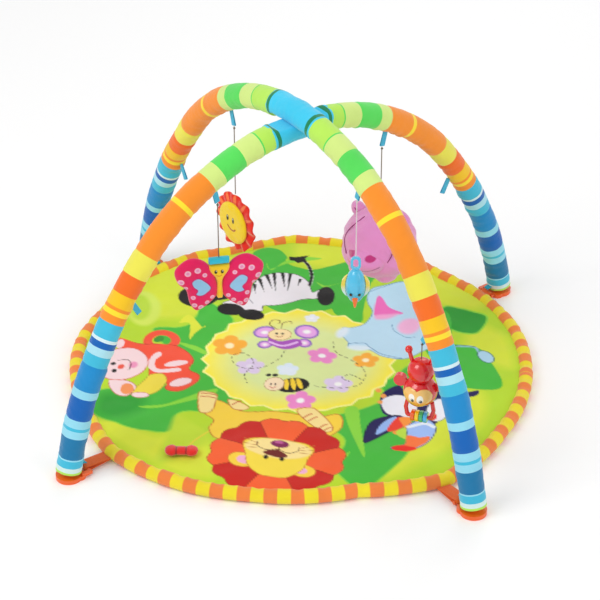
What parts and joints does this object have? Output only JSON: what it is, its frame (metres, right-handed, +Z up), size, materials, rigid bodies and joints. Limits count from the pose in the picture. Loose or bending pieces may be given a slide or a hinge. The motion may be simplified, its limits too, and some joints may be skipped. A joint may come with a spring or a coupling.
{
  "type": "activity play gym",
  "caption": "Round padded play mat under two crossed padded arches with clipped feet, ribbon loops and hanging soft toys and rattles.",
  "frame": {"origin": "middle of the mat's underside, on the floor", "axes": "+Z up, -Y to the front of the gym, +X to the right"},
  "size_m": [0.8499, 0.85, 0.567],
  "materials": {
    "underlay_cloth": "plain off-white non-woven underside",
    "wadding": "white polyester wadding",
    "printed_cotton": "printed cotton, matt",
    "piping_cloth": "orange and yellow striped cotton",
    "red_velour": "short red pile",
    "orange_webbing": "ribbed webbing",
    "orange_plastic": "moulded, satin",
    "teal_ribbon": "woven ribbon",
    "blue_ribbon": "woven ribbon",
    "pole_plastic": "extruded polypropylene",
    "connector_plastic": "moulded",
    "foam": "soft polyester roll",
    "striped_sleeve": "brushed polyester printed with bands",
    "crown_cloth": "brushed polyester",
    "white_cord": "twisted white cord",
    "twine": "thin brown twine",
    "petal_felt": "red and salmon plush petals",
    "yellow_felt": "short yellow pile",
    "red_felt": "short red pile",
    "butterfly_felt": "magenta printed plush",
    "blue_felt": "short cyan pile",
    "pink_plush": "short pink plush with darker seams",
    "wing_plastic": "moulded, glossy",
    "beak_plastic": "moulded, glossy",
    "black_plastic": "glossy",
    "pellet_plastic": "small round pellets",
    "sky_plastic": "moulded, glossy",
    "peach_plastic": "moulded, glossy",
    "bead_orange": "moulded, glossy",
    "bead_yellow": "moulded, glossy",
    "bead_green": "moulded, glossy",
    "bead_blue": "moulded, glossy",
    "red_plastic": "moulded, glossy"
  },
  "bodies": {
    "mat_and_lower_arch": {"lower_arch_connector": "connector_plastic", "lower_arch_crown_cover": "crown_cloth", "lower_arch_crown_padding": "foam", "lower_arch_foot_clips": "orange_plastic", "lower_arch_hem_tabs": "teal_ribbon", "lower_arch_padding_back": "foam", "lower_arch_padding_front": "foam", "lower_arch_pole_back": "pole_plastic", "lower_arch_pole_front": "pole_plastic", "lower_arch_ribbon_loops": "blue_ribbon", "lower_arch_sleeve_back": "striped_sleeve", "lower_arch_sleeve_front": "striped_sleeve", "mat_bow": "red_velour", "mat_foot_straps": "orange_webbing", "mat_piping": "piping_cloth", "mat_printed_top": "printed_cotton", "mat_underlay": "underlay_cloth", "mat_wadding": "wadding"},
    "upper_arch": {"upper_arch_connector": "connector_plastic", "upper_arch_crown_cover": "crown_cloth", "upper_arch_crown_padding": "foam", "upper_arch_foot_clips": "orange_plastic", "upper_arch_hem_tabs": "teal_ribbon", "upper_arch_padding_back": "foam", "upper_arch_padding_front": "foam", "upper_arch_pole_back": "pole_plastic", "upper_arch_pole_front": "pole_plastic", "upper_arch_ribbon_loops": "blue_ribbon", "upper_arch_sleeve_back": "striped_sleeve", "upper_arch_sleeve_front": "striped_sleeve"},
    "flower_cord": {"flower_cord": "twine"},
    "flower": {"flower_back": "red_felt", "flower_face": "yellow_felt", "flower_petals": "petal_felt"},
    "butterfly_cord": {"butterfly_cord": "twine"},
    "butterfly": {"butterfly_body": "yellow_felt", "butterfly_cap": "blue_felt", "butterfly_wings": "butterfly_felt"},
    "hippo_cord": {"hippo_cord": "twine"},
    "hippo": {"hippo_body": "pink_plush", "hippo_ears": "pink_plush", "hippo_muzzle": "pink_plush"},
    "bird_cord": {"bird_cord": "white_cord"},
    "bird": {"bird_back_shell": "sky_plastic", "bird_beak": "beak_plastic", "bird_eyes": "black_plastic", "bird_front_shell": "sky_plastic", "bird_pellets": "pellet_plastic", "bird_wings": "wing_plastic"},
    "monkey_cord": {"monkey_cord": "twine"},
    "monkey": {"monkey_back_shell": "red_plastic", "monkey_face": "peach_plastic", "monkey_front_shell": "red_plastic", "monkey_handle": "red_plastic", "monkey_hat": "red_plastic", "monkey_pellets": "pellet_plastic"},
    "monkey_bead_blue": {"monkey_bead_blue": "bead_blue"},
    "monkey_bead_green": {"monkey_bead_green": "bead_green"},
    "monkey_bead_orange": {"monkey_bead_orange": "bead_orange"},
    "monkey_bead_yellow": {"monkey_bead_yellow": "bead_yellow"}
  },
  "joints": [
    {"name": "fold", "type": "hinge", "parent": "mat_and_lower_arch", "child": "upper_arch", "pos_m": [0, -0.036, 0.5], "axis": [0, 0, 1], "range_deg": [0, 35]},
    {"name": "flower_swing", "type": "hinge", "parent": "upper_arch", "child": "flower_cord", "pos_m": [-0.12965, 0.09825, 0.44013], "axis": [-0.6947, 0.7193, 0], "range_deg": [-15, 15]},
    {"name": "flower_twist", "type": "hinge", "parent": "flower_cord", "child": "flower", "pos_m": [-0.12965, 0.09825, 0.30083], "axis": [0, 0, 1], "range_deg": [-60, 60]},
    {"name": "butterfly_swing", "type": "hinge", "parent": "mat_and_lower_arch", "child": "butterfly_cord", "pos_m": [-0.12061, -0.15247, 0.42971], "axis": [-0.7193, -0.6947, 0], "range_deg": [-15, 15]},
    {"name": "butterfly_twist", "type": "hinge", "parent": "butterfly_cord", "child": "butterfly", "pos_m": [-0.12061, -0.15247, 0.32241], "axis": [0, 0, 1], "range_deg": [-60, 60]},
    {"name": "hippo_swing", "type": "hinge", "parent": "mat_and_lower_arch", "child": "hippo_cord", "pos_m": [0.13383, 0.09323, 0.41964], "axis": [0.7193, 0.6947, 0], "range_deg": [-15, 15]},
    {"name": "hippo_twist", "type": "hinge", "parent": "hippo_cord", "child": "hippo", "pos_m": [0.13383, 0.09323, 0.29434], "axis": [0, 0, 1], "range_deg": [-60, 60]},
    {"name": "bird_swing", "type": "hinge", "parent": "upper_arch", "child": "bird_cord", "pos_m": [0.11384, -0.15389, 0.45332], "axis": [0.6947, -0.7193, 0], "range_deg": [-15, 15]},
    {"name": "bird_twist", "type": "hinge", "parent": "bird_cord", "child": "bird", "pos_m": [0.11384, -0.15389, 0.34202], "axis": [0, 0, 1], "range_deg": [-60, 60]},
    {"name": "monkey_swing", "type": "hinge", "parent": "upper_arch", "child": "monkey_cord", "pos_m": [0.23757, -0.28201, 0.26403], "axis": [0.6947, -0.7193, 0], "range_deg": [-15, 15]},
    {"name": "monkey_twist", "type": "hinge", "parent": "monkey_cord", "child": "monkey", "pos_m": [0.23757, -0.28201, 0.23073], "axis": [0, 0, 1], "range_deg": [-20, 60]},
    {"name": "monkey_bead_blue_spin", "type": "hinge", "parent": "monkey", "child": "monkey_bead_blue", "pos_m": [0.23757, -0.28201, 0.11373], "axis": [0.9848, -0.1736, 0], "continuous": true},
    {"name": "monkey_bead_green_spin", "type": "hinge", "parent": "monkey", "child": "monkey_bead_green", "pos_m": [0.23757, -0.28201, 0.11373], "axis": [0.9848, -0.1736, 0], "continuous": true},
    {"name": "monkey_bead_orange_spin", "type": "hinge", "parent": "monkey", "child": "monkey_bead_orange", "pos_m": [0.23757, -0.28201, 0.11373], "axis": [0.9848, -0.1736, 0], "continuous": true},
    {"name": "monkey_bead_yellow_spin", "type": "hinge", "parent": "monkey", "child": "monkey_bead_yellow", "pos_m": [0.23757, -0.28201, 0.11373], "axis": [0.9848, -0.1736, 0], "continuous": true}
  ]
}
